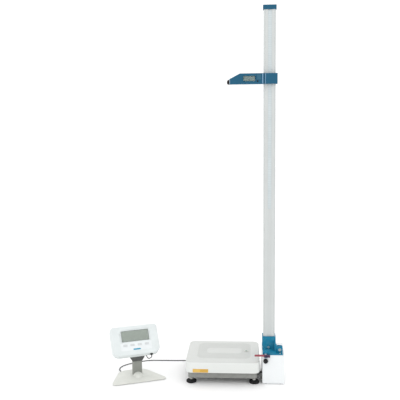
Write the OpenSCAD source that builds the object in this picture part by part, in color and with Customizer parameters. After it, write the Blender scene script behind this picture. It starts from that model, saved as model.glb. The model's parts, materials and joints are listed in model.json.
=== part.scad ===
/* [Platform] */
// Width of the weighing platform
deck_w = 440; // [430:5:450]
// Depth of the weighing platform
deck_d = 370; // [360:5:380]
// Height of the standing surface
deck_top = 140; // [140:1:150]
// Height of the platform cover's skirt
skirt_h = 66; // [60:1:68]
// Height of the frame's underside above the floor
frame_z = 39; // [37:1:40]

/* [Column base box] */
// Width of the sheet-metal box under the column
box_w = 130; // [130:1:134]
// Depth of the box
box_d = 220; // [210:5:240]
// Height of the box's top face
box_top = 178; // [178:1:180]

/* [Column and slider] */
// Overall height
total_h = 2200; // [2100:10:2300]
// Width of the extruded column
column_w = 69; // [69:1:70]
// Depth of the extruded column
column_d = 50; // [50:1:51]
// Height of the slider's underside as drawn
slider_z = 1761; // [1100:1:2000]
// Length of the measuring arm, left of the column
arm_l = 186; // [180:1:190]

/* [Remote indicator] */
// Width of the indicator housing
ind_w = 288; // [280:2:292]
// Height of the indicator housing
ind_h = 182; // [180:1:188]
// Lean of the display back from upright
ind_tilt = 38; // [30:1:45]
// Turn of the desk stand about the vertical
stand_yaw = 21; // [15:1:25]

/* [Hidden] */
$fn = 48;
eps = 1;
sheet = 3;
// platform
cover_top_t = 4;
cover_r = 36;
cover_z = deck_top - skirt_h;
recess_depth = 2;
level_pos = [141, 10];
spider_h = 13;
cover_under = deck_top - cover_top_t;
spider_z = cover_under - spider_h;
pad_h = 8;
cell_l = 150;
cell_w = 40;
cell_h = 32;
cell_z = spider_z - pad_h - cell_h;
cell_bolt_x = [48, 65];
bolt_r = 4;
bolt_hole_r = 4.3;
m6_r = 3;
m6_hole_r = 3.3;
m6_head_r = 5;
m6_head_h = 4;
level_r = 10.5;
frame_w = deck_w - 28;
frame_d = deck_d - 28;
frame_top = cell_z - 6;
frame_h = frame_top - frame_z;
rail_w = 30;
beam_w = 70;
foot_x = frame_w / 2 - 18;
foot_y = frame_d / 2 - 33;
foot_r = 30;
stud_r = 5;
stop_x = frame_w / 2 - 20;
stop_y = 100;
gland_pos = [-150, frame_d / 2, 56];
gland_l = 20;
lead_r = 2.5;
// base box
box_x = 236;
box_y = -159;
pad_t = 4;
tie_t = 4;
box_mid = [box_x + box_w / 2, box_y + box_d / 2];
// hinge
plate_t = 5;
plate_z = box_top + plate_t;
pin_x = 340;
pin_z = plate_z + 16;
pin_r = 6;
ear_half = 17;
ear_top = 19;
ear_t = 6;
ear_front_y = -122;
ear_rear_y = -96;
knuckle_r = 15;
flange_t = 6;
flange_top = plate_z + flange_t;
// clamp lever and knob
lever_x = 255.5;
lever_y = box_y - 7;
rod_r = 4;
lug_z = 170;
lug_t = 3;
cheek_x = lever_x + 11.5;
knob_z = 145;
knob_r = 14.5;
nut_w = 24;
// column, its centre in plan
column_c = [278, -41];
column_top = total_h - 25;
strip_z = 1038;
wall = 2.5;
channel_x = 1;
channel_w = 21;
channel_d = 3.2;
foot_top = 263;
foot_bolt_z = 199;
clamp_y = column_c[1] - column_d / 2 - 9;
clamp_d = column_d + 17;
// slider
head_h = 60;
head_y = -92;
head_d = 84;
sleeve_x = 236.4;
sleeve_w = 85.6;
glide_gap = 1.7;
glide_t = 1.4;
arm_split = -50;
arm_x = sleeve_x - arm_l;
lens_pos = [127.4, slider_z + 15.5];
lens_w = 69;
lens_h = 30;
key_pos = [205, slider_z + 23];
button_pos = [209, slider_z + 15.5];
// indicator, its front face's centre
ind_c = [-528, -105, 246];
ind_front_d = 28;
ind_rear_d = 24;
ind_back = ind_front_d + ind_rear_d;
shell = 2.5;
lcd_w = 172;
lcd_h = 72;
lcd_pos = [2, 26];
key_x = [-66, -22, 22, 66];
key_z = -32;
key_w = 26;
key_h = 14;
pivot_yz = [75, -45];
tilt_r = 5;
lug_x = 36;
// desk stand, under the tilt pivot
pivot_out = pivot_yz[0] * cos(ind_tilt) + pivot_yz[1] * sin(ind_tilt);
pivot_z = ind_c[2] - pivot_yz[0] * sin(ind_tilt) + pivot_yz[1] * cos(ind_tilt);
stand_z = 14;
stand_shift = 13;
stand_pos = [ind_c[0] - pivot_out * sin(stand_yaw) + stand_shift * cos(stand_yaw),
  ind_c[1] + pivot_out * cos(stand_yaw) + stand_shift * sin(stand_yaw)];
rim_z = 3;
post_w = 58;
post_d = 30;
post_y = 2;
yoke_z = 102;
yoke_w = 88;
yoke_t = 4;
yoke_r = 12;

// ---- helpers ----

// Rounded rectangle about the origin
module rounded_rect(w, d, r) {
  square([w - 2 * r, d], center = true);
  square([w, d - 2 * r], center = true);
  for (x = [-1, 1], y = [-1, 1])
    translate([x * (w / 2 - r), y * (d / 2 - r)]) circle(r);
}

module slab(w, d, h, r) {
  linear_extrude(h) rounded_rect(w, d, r);
}

// Rounded rectangular block that runs along +Y, placed by its centre in XZ
module block_y(w, h, length, r) {
  rotate([-90, 0, 0]) slab(w, h, length, r);
}

module rod_x(r, length) {
  rotate([0, 90, 0]) cylinder(r = r, h = length);
}

module rod_y(r, length) {
  rotate([-90, 0, 0]) cylinder(r = r, h = length);
}

// XZ outline extruded along +Y
module extrude_y(length) {
  translate([0, length, 0]) rotate([90, 0, 0]) linear_extrude(length) children();
}

function unit(v) = v / norm(v);

// Corner p of an outline, rounded from a distance r before it to r after it
function corner(a, p, b, r, n = 6) = [for (i = [0:n])
  let (t = i / n, s = p + r * unit(a - p), e = p + r * unit(b - p))
  (1 - t) * (1 - t) * s + 2 * t * (1 - t) * p + t * t * e];
function rounded_outline(pts, radii) = [for (i = [0:len(pts) - 1])
  let (n = len(pts))
  each corner(pts[(i + n - 1) % n], pts[i], pts[(i + 1) % n], radii[i])];

// Tube swept along a smooth curve through the points of a route
function spline(p0, p1, p2, p3, t) = 0.5 * (2 * p1 + (p2 - p0) * t
  + (2 * p0 - 5 * p1 + 4 * p2 - p3) * t * t + (3 * p1 - p0 - 3 * p2 + p3) * t * t * t);
function smooth(route, n) = let (m = len(route) - 1)
  [for (i = [0:m - 1], k = [0:n - 1]) spline(route[max(i - 1, 0)], route[i], route[i + 1],
    route[min(i + 2, m)], k / n), route[m]];
function carried(side, along) = unit(side - (side * along) * along);
function sides(path, dirs, i, side) = i == len(path) ? []
  : let (s = carried(side, dirs[i])) concat([s], sides(path, dirs, i + 1, s));
module sweep(route, r, n, around, side) {
  path = smooth(route, n);
  last = len(path) - 1;
  dirs = [for (i = [0:last]) unit(path[min(i + 1, last)] - path[max(i - 1, 0)])];
  across = sides(path, dirs, 0, side);
  points = [for (i = [0:last], k = [0:around - 1])
    path[i] + r * (cos(360 * k / around) * across[i]
      + sin(360 * k / around) * cross(dirs[i], across[i]))];
  walls = [for (i = [0:last - 1], k = [0:around - 1])
    let (q = (k + 1) % around)
    [i * around + k, (i + 1) * around + k, (i + 1) * around + q, i * around + q]];
  start = [for (k = [0:around - 1]) k];
  finish = [for (k = [0:around - 1]) last * around + around - 1 - k];
  polyhedron(points, concat([start], walls, [finish]), convexity = 8);
}

module at_corners(x, y) {
  for (sx = [-1, 1], sy = [-1, 1]) translate([sx * x, sy * y, 0]) children();
}

// ---- weighing platform ----

module deck_cover() {
  color("white") difference() {
    translate([0, 0, cover_z]) slab(deck_w, deck_d, skirt_h, cover_r);
    translate([0, 0, cover_z - eps])
      slab(deck_w - 2 * sheet, deck_d - 2 * sheet, skirt_h - cover_top_t + eps, cover_r - sheet);
    translate([6, 13, deck_top - recess_depth]) difference() {
      slab(324, 258, recess_depth + eps, 42);
      translate([0, 0, -eps]) slab(212, 86, recess_depth + 3 * eps, 24);
    }
    translate([level_pos[0], level_pos[1], cover_under - eps])
      cylinder(r = level_r + 0.5, h = cover_top_t + 2 * eps);
  }
}

module bubble_level() {
  color("mediumseagreen") translate([level_pos[0], level_pos[1], 0]) {
    translate([0, 0, cover_under - 6]) cylinder(r = 15, h = 6);
    translate([0, 0, cover_under]) cylinder(r = level_r, h = cover_top_t);
  }
}

module deck_spider() {
  ring = 30;
  color("silver") difference() {
    union() {
      translate([0, 0, spider_z]) difference() {
        slab(deck_w - 50, deck_d - 50, spider_h, 12);
        translate([0, 0, -eps])
          slab(deck_w - 50 - 2 * ring, deck_d - 50 - 2 * ring, spider_h + 2 * eps, 6);
      }
      translate([0, 0, spider_z + spider_h / 2])
        cube([deck_w - 50 - ring, 2 * ring, spider_h], center = true);
      translate([cell_l / 2 - 35, -cell_w / 2, spider_z - pad_h]) cube([35, cell_w, pad_h]);
    }
    translate([level_pos[0], level_pos[1], spider_z - eps]) cylinder(r = 16, h = 20);
    for (x = cell_bolt_x) translate([x, 0, spider_z - pad_h - eps]) {
      cylinder(r = bolt_hole_r, h = pad_h + spider_h);
      translate([0, 0, pad_h + 6]) cylinder(r = 7.5, h = spider_h);
    }
  }
}

module load_cell() {
  color("lightgray") difference() {
    translate([-cell_l / 2, -cell_w / 2, cell_z]) cube([cell_l, cell_w, cell_h]);
    for (x = [-18, 18]) translate([x, -cell_w / 2 - eps, cell_z + cell_h / 2])
      rod_y(10, cell_w + 2 * eps);
    translate([0, 0, cell_z + cell_h / 2]) cube([36, cell_w + 2 * eps, 8], center = true);
    for (s = [-1, 1], x = cell_bolt_x) translate([s * x, 0, cell_z - eps])
      cylinder(r = bolt_hole_r, h = cell_h + 2 * eps);
  }
}

// Cap screws that hold the load cell to the frame at one end and the spider at the other
module cell_bolts() {
  color("dimgray") for (x = cell_bolt_x) {
    translate([-x, 0, cell_z - 12]) cylinder(r = bolt_r, h = cell_h + 12);
    translate([-x, 0, cell_z + cell_h]) cylinder(r = 6.5, h = 7);
    translate([x, 0, cell_z + 2]) cylinder(r = bolt_r, h = cell_h + pad_h + 4);
    translate([x, 0, spider_z + 5]) cylinder(r = 6.5, h = 7);
  }
}

module base_frame() {
  flange = 3;
  color("gray") difference() {
    union() {
      translate([0, 0, frame_z]) difference() {
        slab(frame_w, frame_d, frame_h, 20);
        translate([0, 0, flange])
          slab(frame_w - 2 * sheet, frame_d - 2 * sheet, frame_h - 2 * flange, 20 - sheet);
        translate([0, 0, -eps])
          slab(frame_w - 2 * rail_w, frame_d - 2 * rail_w, frame_h + 2 * eps, 8);
      }
      translate([0, 0, frame_top - 16]) difference() {
        translate([-frame_w / 2 + 2, -beam_w / 2, 0]) cube([frame_w - 4, beam_w, 16]);
        translate([-frame_w / 2, -beam_w / 2 + 4, -eps])
          cube([frame_w, beam_w - 8, 16 - 6 + eps]);
      }
      translate([-cell_l / 2, -cell_w / 2, frame_top - eps]) cube([35, cell_w, 6 + eps]);
    }
    for (x = cell_bolt_x) translate([-x, 0, frame_top - 16])
      cylinder(r = bolt_hole_r, h = 30);
    at_corners(foot_x, foot_y) translate([0, 0, frame_z - eps])
      cylinder(r = stud_r + 0.3, h = flange + 2 * eps);
    at_corners(stop_x, stop_y) translate([0, 0, frame_top - flange - eps])
      cylinder(r = stud_r + 0.2, h = flange + 2 * eps);
    translate([gland_pos[0], gland_pos[1] - 2 * sheet, gland_pos[2]]) rod_y(6.2, 3 * sheet);
  }
}

// Studs that stop the spider before the load cell is strained too far
module overload_stops() {
  color("silver") at_corners(stop_x, stop_y) {
    translate([0, 0, frame_top - 6]) cylinder(r = stud_r, h = spider_z - 3 - frame_top + 6);
    translate([0, 0, frame_top]) cylinder(r = 9, h = 5, $fn = 6);
  }
}

module foot_locknuts() {
  color("silver") at_corners(foot_x, foot_y) translate([0, 0, frame_z - 5.5]) difference() {
    cylinder(r = 10, h = 5.5, $fn = 6);
    translate([0, 0, -eps]) cylinder(r = stud_r + 0.3, h = 8);
  }
}

module levelling_foot(x, y) {
  translate([x, y, 0]) {
    color("black") rotate_extrude()
      polygon([[0, 0], [foot_r, 0], [foot_r, 11], [foot_r - 5, 17], [13, 19], [13, 28], [0, 28]]);
    color("silver") translate([0, 0, 28]) cylinder(r = stud_r, h = frame_z - 2);
  }
}

module foot_front_left() { levelling_foot(-foot_x, -foot_y); }
module foot_front_right() { levelling_foot(foot_x, -foot_y); }
module foot_rear_left() { levelling_foot(-foot_x, foot_y); }
module foot_rear_right() { levelling_foot(foot_x, foot_y); }

module cable_gland() {
  color("black") translate(gland_pos) {
    translate([0, -10, 0]) rod_y(6, 10);
    rotate([-90, 0, 0]) cylinder(r = 11, h = 6, $fn = 6);
    translate([0, 6, 0]) rod_y(8.5, gland_l - 6);
  }
}

// Route of the lead from the platform's gland, along the floor, and under the desk stand
lead_floor = 2.6;
floor_route = [[-150, 191, 56], [-150, 205, 54], [-154, 220, 44], [-162, 228, 26],
  [-176, 226, 11], [-196, 214, 4], [-220, 198, lead_floor], [-250, 188, lead_floor],
  [-300, 184, lead_floor], [-368, 183, lead_floor], [-425, 182, lead_floor],
  [-483, 179, lead_floor], [-531, 162, lead_floor], [-571, 140, lead_floor],
  [-606, 117, lead_floor], [-633, 93, lead_floor], [-651, 64, lead_floor],
  [-657, 33, lead_floor], [-650, 4, lead_floor], [-627, -27, lead_floor]];

// Where the lead ends and which way it runs there, in the stand's frame
function stand_xy(p) = let (x = p[0] - stand_pos[0], y = p[1] - stand_pos[1])
  [x * cos(stand_yaw) + y * sin(stand_yaw), y * cos(stand_yaw) - x * sin(stand_yaw)];
lead_end = stand_xy(floor_route[len(floor_route) - 1]);
lead_before = stand_xy(floor_route[len(floor_route) - 2]);
lead_turn = atan2(lead_end[1] - lead_before[1], lead_end[0] - lead_before[0]);

module floor_lead() {
  color("black") sweep(floor_route, lead_r, 4, 8, [0, 0, 1]);
}

// ---- column base ----

module base_box() {
  color("whitesmoke") difference() {
    translate([box_mid[0], box_mid[1], pad_t]) slab(box_w, box_d, box_top - pad_t, 4);
    difference() {
      translate([box_mid[0], box_mid[1], pad_t - eps])
        slab(box_w - 2 * sheet, box_d - 2 * sheet, box_top - pad_t - sheet + eps, 1);
      translate([lever_x - nut_w / 2, box_y, knob_z - nut_w / 2]) cube([nut_w, 11, nut_w]);
    }
    translate([lever_x, box_y - eps, knob_z]) rod_y(bolt_hole_r, 20);
    hinge_plate_bolts() cylinder(r = m6_hole_r, h = 30, center = true);
    tie_bolts() rod_x(m6_hole_r, tie_t + sheet + eps);
  }
}

module base_floor() {
  color("gainsboro") translate([box_mid[0], box_mid[1], pad_t])
    slab(box_w - 2 * sheet, box_d - 2 * sheet, 5, 1);
}

module base_pads() {
  color("black") translate([box_mid[0], box_mid[1], 0])
    at_corners(box_w / 2 - 20, box_d / 2 - 20) cylinder(r = 14, h = pad_t);
}

// Angle that ties the platform's frame to the column's box
module tie_bracket() {
  color("dimgray") difference() {
    union() {
      translate([box_x - tie_t, -150, pad_t]) cube([tie_t, 60, 50]);
      for (y = [-150, -100]) translate([frame_w / 2, y, frame_z])
        cube([box_x - tie_t - frame_w / 2, 10, 15]);
    }
    tie_bolts() translate([-eps, 0, 0]) rod_x(m6_hole_r, tie_t + 2 * eps);
  }
}

module tie_bolts() {
  for (y = [-130, -112], z = [18, 42]) translate([box_x - tie_t, y, z]) children();
}

module hinge_plate_bolts() {
  for (p = [[pin_x + 1, -142], [pin_x + 8, -77], [box_x + 14, 38], [box_x + 72, 38]])
    translate([p[0], p[1], box_top]) children();
}

module hinge_plate() {
  color("steelblue") difference() {
    union() {
      translate([box_x + 3, box_y + 7, box_top]) cube([box_w - 12, 86, plate_t]);
      translate([box_x + 2, box_y + 90, box_top]) cube([80, 123, plate_t]);
      for (y = [ear_front_y, ear_rear_y]) translate([0, y, 0]) extrude_y(ear_t)
        polygon(rounded_outline([[pin_x - ear_half, plate_z - eps],
          [pin_x + ear_half, plate_z - eps], [pin_x + ear_half, pin_z + ear_top],
          [pin_x - ear_half, pin_z + ear_top]], [0.5, 0.5, 10, 10]));
    }
    translate([pin_x, ear_front_y - eps, pin_z]) rod_y(pin_r + 0.05, 60);
    hinge_plate_bolts() cylinder(r = m6_hole_r, h = 30, center = true);
  }
}

// Bolts of one size that hold the hinge plate and the tie bracket
module m6_bolts() {
  color("silver") {
    hinge_plate_bolts() {
      translate([0, 0, plate_t]) cylinder(r = m6_head_r, h = m6_head_h);
      translate([0, 0, plate_t - 16]) cylinder(r = m6_r, h = 16);
    }
    tie_bolts() {
      translate([-m6_head_h, 0, 0]) rod_x(m6_head_r, m6_head_h);
      rod_x(m6_r, 14);
    }
  }
}

module hinge_pin() {
  washer_t = 1.5;
  bolt_head_h = 5;
  rear = ear_rear_y + ear_t;
  color("silver") translate([pin_x, 0, pin_z]) {
    translate([0, ear_front_y, 0]) rod_y(pin_r, rear - ear_front_y);
    translate([0, ear_front_y - washer_t, 0]) rod_y(10, washer_t);
    translate([0, ear_front_y - washer_t - bolt_head_h, 0]) rotate([-90, 0, 0])
      cylinder(r = 6.5, h = bolt_head_h, $fn = 6);
    translate([0, rear, 0]) rotate([-90, 0, 0]) cylinder(r = 9.5, h = 8, $fn = 6);
  }
}

// Hand knob with its screw, on the front of the box
module lock_knob() {
  color("black") translate([lever_x, box_y - 16, knob_z]) rod_y(knob_r, 15.7);
  color("silver") translate([lever_x, box_y - 2, knob_z]) rod_y(bolt_r, 26);
}

// Bracket on the box's front that holds the lever's rod, with a cheek beside the lever
module lever_bracket() {
  cheek_w = 14;
  width = cheek_x + cheek_w - (lever_x - 10);
  color("indigo") difference() {
    union() {
      translate([lever_x - 10, lever_y - 8, lug_z]) cube([width, box_y - lever_y + 8, lug_t]);
      translate([cheek_x, lever_y - 6, lug_z]) cube([cheek_w, box_y - lever_y + 6, 13]);
    }
    translate([lever_x, lever_y, lug_z - eps]) cylinder(r = rod_r + 0.1, h = lug_t + 2 * eps);
  }
}

// Clamp lever, closed when it points to the platform; its cam stands above the box's top
module cam_lever() {
  hub_z = lug_z + lug_t + 0.5;
  hub_r = 6.4;
  grip_l = 66;
  cam_z = box_top + 0.5;
  color("firebrick") difference() {
    union() {
      translate([lever_x, lever_y, hub_z]) cylinder(r = hub_r, h = cam_z - hub_z);
      translate([lever_x, lever_y + 0.4, cam_z]) cylinder(r = 11, h = flange_top - 2 - cam_z);
      translate([0, 0, hub_z]) linear_extrude(11)
        polygon(rounded_outline([[lever_x - grip_l, lever_y - 4], [lever_x, lever_y - 6.2],
          [lever_x, lever_y + 6.2], [lever_x - grip_l, lever_y + 5]], [4, 1, 1, 4]));
    }
    translate([lever_x, lever_y, hub_z - eps]) cylinder(r = rod_r + 0.1, h = 40);
  }
}

module pivot_rod() {
  rod_l = 45;
  cap_h = 4;
  color("silver") translate([lever_x, lever_y, lug_z - cap_h]) {
    cylinder(r = rod_r, h = rod_l);
    cylinder(r = rod_r + 2.5, h = cap_h, $fn = 6);
    translate([0, 0, rod_l - cap_h]) cylinder(r = rod_r + 2, h = cap_h);
  }
}

// ---- column ----

module column_foot() {
  knuckle_y = ear_front_y + ear_t + 0.4;
  knuckle_l = ear_rear_y - 0.4 - knuckle_y;
  left = column_c[0] - column_w / 2 - 6;
  right = column_c[0] + column_w / 2 + 5;
  color("steelblue") difference() {
    union() {
      translate([box_x + 4, box_y + 9, plate_z]) cube([pin_x - 24.5 - box_x, 172, flange_t]);
      translate([pin_x - 22, knuckle_y, plate_z]) cube([22, knuckle_l, flange_t]);
      translate([left, clamp_y, plate_z + 1])
        cube([right - left, clamp_d, foot_top - plate_z - 1]);
      translate([pin_x, knuckle_y, pin_z]) rod_y(knuckle_r, knuckle_l);
      translate([0, knuckle_y, 0]) extrude_y(knuckle_l)
        polygon([[right - 1, pin_z + 14], [right - 1, plate_z + 2], [pin_x, plate_z + 2],
          [pin_x + 4, pin_z + 14]]);
      translate([0, knuckle_y, 0]) extrude_y(knuckle_l)
        polygon([[right - 1, pin_z + 34], [right - 1, pin_z], [pin_x - 10, pin_z + 14]]);
      translate([right - 8, 0, 0]) rotate([90, 0, 90]) linear_extrude(8)
        polygon([[knuckle_y, plate_z + 1], [clamp_y + 1, plate_z + 1], [clamp_y + 1, pin_z + 44],
          [knuckle_y + knuckle_l, pin_z + 34], [knuckle_y, pin_z + 34]]);
    }
    translate([column_c[0], column_c[1], flange_top])
      linear_extrude(foot_top) square([column_w + 0.4, column_d + 0.4], center = true);
    translate([pin_x, knuckle_y - eps, pin_z]) rod_y(pin_r + 0.05, knuckle_l + 2 * eps);
    foot_bolt_axes() rod_y(bolt_hole_r, 100);
  }
}

// Axes of the bolts that clamp the column in its foot, from front and rear
module foot_bolt_axes() {
  translate([column_c[0] - 3.5, -90, foot_bolt_z]) children();
}

module foot_bolts() {
  bolt_head_h = 6;
  color("silver") translate([column_c[0] - 3.5, 0, foot_bolt_z]) {
    translate([0, clamp_y - bolt_head_h, 0]) rotate([-90, 0, 0])
      cylinder(r = 8, h = bolt_head_h, $fn = 6);
    translate([0, clamp_y, 0]) rod_y(bolt_r, clamp_d);
    translate([0, clamp_y + clamp_d, 0]) rotate([-90, 0, 0]) cylinder(r = 8, h = 7, $fn = 6);
  }
}

module column_profile() {
  half_w = column_w / 2;
  half_d = column_d / 2;
  difference() {
    rounded_rect(column_w, column_d, 5);
    translate([channel_x - channel_w / 2, -half_d - eps]) square([channel_w, channel_d + eps]);
    for (x = [-26.5, 28]) translate([x - 1.2, -half_d - eps]) square([2.4, 1.2 + eps]);
    for (s = [-1, 1]) translate([s * half_w - 1.2, -2]) square([2.4, 4]);
    translate([-half_w + wall, -half_d + wall]) square([19.5, column_d - 2 * wall]);
    translate([half_w - wall - 17.5, -half_d + wall]) square([17.5, column_d - 2 * wall]);
    translate([channel_x - 11, -half_d + channel_d + wall])
      square([22, column_d - 2 * wall - channel_d]);
  }
}

module column_tube() {
  color("lightgray") difference() {
    translate([column_c[0], column_c[1], flange_top]) linear_extrude(column_top - flange_top)
      column_profile();
    foot_bolt_axes() rod_y(bolt_hole_r, 100);
  }
}

// Printed measuring strip in the column's front channel
module scale_strip() {
  color("lightsteelblue") translate([column_c[0] + channel_x - channel_w / 2 + 0.5,
    column_c[1] - column_d / 2 + channel_d - 1.6, strip_z])
    cube([channel_w - 1, 1.6, column_top - 5 - strip_z]);
}

module top_cap() {
  color("steelblue") translate([column_c[0], column_c[1], 0]) {
    translate([0, 0, column_top]) slab(column_w + 7, column_d + 8, total_h - column_top, 6);
    translate([channel_x - 10.5, -column_d / 2 + channel_d + wall + 0.5, column_top - 30])
      cube([21, column_d - 2 * wall - channel_d - 1, 30]);
  }
}

// ---- slider ----

module slider_sleeve() {
  inner_w = column_w + 2 * glide_gap;
  inner_d = column_d + 2 * glide_gap;
  color("steelblue") difference() {
    translate([sleeve_x, head_y, slider_z]) cube([sleeve_w, head_d, head_h]);
    translate([column_c[0], column_c[1], slider_z - eps])
      linear_extrude(head_h + 2 * eps) square([inner_w, inner_d], center = true);
    translate([sleeve_x + 4, head_y + 4, slider_z + 4])
      cube([sleeve_w - 8, 17, head_h - 8]);
    translate([column_c[0] + channel_x - 9.5, head_y + 20, slider_z + 20]) cube([19, 6, 20]);
  }
}

// Low-friction pads between the sleeve and the column
module glide_pads() {
  half_w = column_w / 2 + glide_gap;
  half_d = column_d / 2 + glide_gap;
  color("ivory") translate([column_c[0], column_c[1], 0]) for (z = [4, head_h - 20]) {
    for (s = [-1, 1]) translate([s * (half_w - glide_t / 2), 14, slider_z + z + 8])
      cube([glide_t, 14, 16], center = true);
    for (s = [-1, 1]) translate([s * (half_w - glide_t / 2), -14, slider_z + z + 8])
      cube([glide_t, 14, 16], center = true);
    for (x = [-20, 22]) translate([x, half_d - glide_t / 2, slider_z + z + 8])
      cube([12, glide_t, 16], center = true);
    for (x = [-20, 22]) translate([x, -half_d + glide_t / 2, slider_z + z + 8])
      cube([10, glide_t, 16], center = true);
  }
}

// Side outline of the arm, shrunk by a margin for its hollow
module arm_outline(m = 0) {
  polygon([[arm_x + m, slider_z + m], [sleeve_x - m, slider_z + m],
    [sleeve_x - m, slider_z + head_h - m], [arm_x + 58 + m * 0.25, slider_z + head_h - m],
    [arm_x + 4 + m * 0.25, slider_z + 32 - m * 0.9], [arm_x + m, slider_z + 32 - m * 0.9]]);
}

arm_screw_xz = [[82, 10], [222, 8], [197, 55], [122, 55]];

module arm_shell(y0, y1, open_y0, open_y1) {
  difference() {
    translate([0, y0, 0]) extrude_y(y1 - y0) arm_outline();
    difference() {
      translate([0, open_y0, 0]) extrude_y(open_y1 - open_y0) arm_outline(shell);
      for (p = arm_screw_xz) translate([p[0], y0, slider_z + p[1]]) rod_y(4, y1 - y0);
    }
    for (p = arm_screw_xz) translate([p[0], y0 + 12, slider_z + p[1]]) rod_y(1.8, y1 - y0);
  }
}

module arm_front() {
  color("steelblue") difference() {
    arm_shell(head_y, arm_split, head_y + shell, arm_split + eps);
    translate([lens_pos[0], head_y - eps, lens_pos[1]]) cube([lens_w, 6, lens_h]);
    translate([key_pos[0], head_y - eps, key_pos[1]]) cube([24, 6, 31]);
    translate([button_pos[0], head_y - eps, button_pos[1]]) rod_y(4.5, 6);
  }
}

module arm_rear() {
  rear = head_y + head_d;
  color("steelblue") difference() {
    arm_shell(arm_split, rear, arm_split - eps, rear - shell);
    for (p = arm_screw_xz) {
      translate([p[0], arm_split - eps, slider_z + p[1]]) rod_y(1.8, head_d);
      translate([p[0], rear - 4, slider_z + p[1]]) rod_y(3.2, 6);
    }
    translate([132, rear - 4, slider_z + 12]) cube([70, 6, 36]);
  }
}

module battery_door() {
  color("steelblue") translate([132.4, head_y + head_d - 2.2, slider_z + 12.4])
    cube([69.2, 2, 35.2]);
}

module slider_screws() {
  color("silver") for (p = arm_screw_xz)
    translate([p[0], head_y + head_d - 4, slider_z + p[1]]) {
      rod_y(2.9, 2);
      translate([0, -60, 0]) rod_y(1.5, 60);
    }
}

// Soft end of the arm
module arm_tip() {
  color("dimgray") translate([0, head_y + 2, slider_z]) extrude_y(head_d - 4)
    polygon(rounded_outline([[arm_x - 15.6, 0], [arm_x, 0], [arm_x, 29], [arm_x - 15.6, 19]],
      [6, 0.5, 0.5, 5]));
}

module slider_lens() {
  color("lightgray") translate([lens_pos[0] + 0.3, head_y + 0.3, lens_pos[1] + 0.3])
    cube([lens_w - 0.6, 1.5, lens_h - 0.6]);
}

module slider_lcd() {
  color("darkseagreen") translate([lens_pos[0] + 4, head_y + 2, lens_pos[1] + 3])
    cube([lens_w - 8, 4, lens_h - 6]);
}

module slider_board() {
  color("darkgreen") {
    translate([lens_pos[0] - 6, head_y + 7, slider_z + 14]) cube([72, 1.6, 36]);
    translate([column_c[0] + channel_x - 9, head_y + 16, slider_z + 21]) cube([18, 9.8, 18]);
  }
}

module slider_key() {
  color("cadetblue") translate([key_pos[0] + 0.5, head_y - 1.2, key_pos[1] + 0.5])
    cube([23, 5.5, 30]);
}

module slider_button() {
  color("black") translate([button_pos[0], head_y - 1.2, button_pos[1]]) rod_y(4, 5.5);
}

// ---- indicator ----

// Frame of the indicator: X along its width, Y into the housing, Z up its face
module at_indicator() {
  translate(ind_c) rotate([0, 0, stand_yaw]) rotate([-ind_tilt, 0, 0]) children();
}

module ind_outline(m = 0) {
  w = ind_w / 2 - m;
  h = ind_h / 2 - m;
  polygon(rounded_outline([[-w, -h], [w, -h], [w, h], [-w, h]], [46, 46, 24, 24]));
}

module ind_block(y0, y1, m = 0) {
  translate([0, y0, 0]) extrude_y(y1 - y0) ind_outline(m);
}

ind_screw_xz = [[-112, -52], [112, -52], [112, 66], [-112, 66]];

module indicator_front() {
  color("white") at_indicator() difference() {
    ind_block(0, ind_front_d);
    ind_block(shell, ind_front_d + eps, shell);
    translate([lcd_pos[0], -eps, lcd_pos[1]]) block_y(lcd_w, lcd_h, 6, 4);
    for (x = key_x) translate([x, -eps, key_z]) block_y(key_w + 0.8, key_h + 0.8, 6, 4);
    translate([88, 20, -ind_h / 2 - eps]) cylinder(r = 5.2, h = 6);
  }
}

module indicator_rear() {
  color("white") at_indicator() difference() {
    union() {
      difference() {
        ind_block(ind_front_d, ind_back);
        difference() {
          ind_block(ind_front_d - eps, ind_back - shell, shell);
          for (p = ind_screw_xz) translate([p[0], ind_front_d - eps, p[1]]) rod_y(6, 30);
        }
      }
      for (s = [-1, 1]) translate([stand_shift + s * lug_x - 2.5, 0, 0]) {
        translate([0, pivot_yz[0], pivot_yz[1]]) rod_x(yoke_r, 5);
        translate([0, ind_back - 1, pivot_yz[1] - yoke_r])
          cube([5, pivot_yz[0] - ind_back + 1, 2 * yoke_r]);
      }
    }
    translate([stand_shift - 60, pivot_yz[0], pivot_yz[1]]) rod_x(tilt_r + 0.05, 120);
    for (p = ind_screw_xz) {
      translate([p[0], ind_front_d - eps, p[1]]) rod_y(2.2, 40);
      translate([p[0], ind_back - 5, p[1]]) rod_y(4.2, 8);
    }
  }
}

module indicator_screws() {
  color("silver") at_indicator() for (p = ind_screw_xz) {
    translate([p[0], ind_back - 5, p[1]]) rod_y(3.8, 3);
    translate([p[0], ind_front_d - 4, p[1]]) rod_y(2, ind_rear_d);
  }
}

module indicator_lens() {
  color("lightgray") at_indicator() translate([lcd_pos[0], 0.4, lcd_pos[1]])
    block_y(lcd_w - 0.6, lcd_h - 0.6, 1.8, 4);
}

module indicator_lcd() {
  color("darkseagreen") at_indicator() translate([lcd_pos[0], 3, lcd_pos[1]])
    block_y(lcd_w - 8, lcd_h - 8, 6, 1);
}

// Flush overlay around the keys
module keypad_panel() {
  color("ghostwhite") at_indicator() difference() {
    translate([0, -0.6, key_z - 10]) block_y(176, 52, 0.6, 6);
    for (x = key_x) translate([x, -2, key_z]) block_y(key_w + 0.8, key_h + 0.8, 6, 4);
  }
}

module key(i) {
  color("lightgray") at_indicator() translate([key_x[i], -1.8, key_z])
    block_y(key_w, key_h, 7, 4);
}

module key_1() { key(0); }
module key_2() { key(1); }
module key_3() { key(2); }
module key_4() { key(3); }

module indicator_board() {
  color("darkgreen") at_indicator() translate([0, 13, 5]) block_y(210, 120, 1.6, 2);
}

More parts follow.
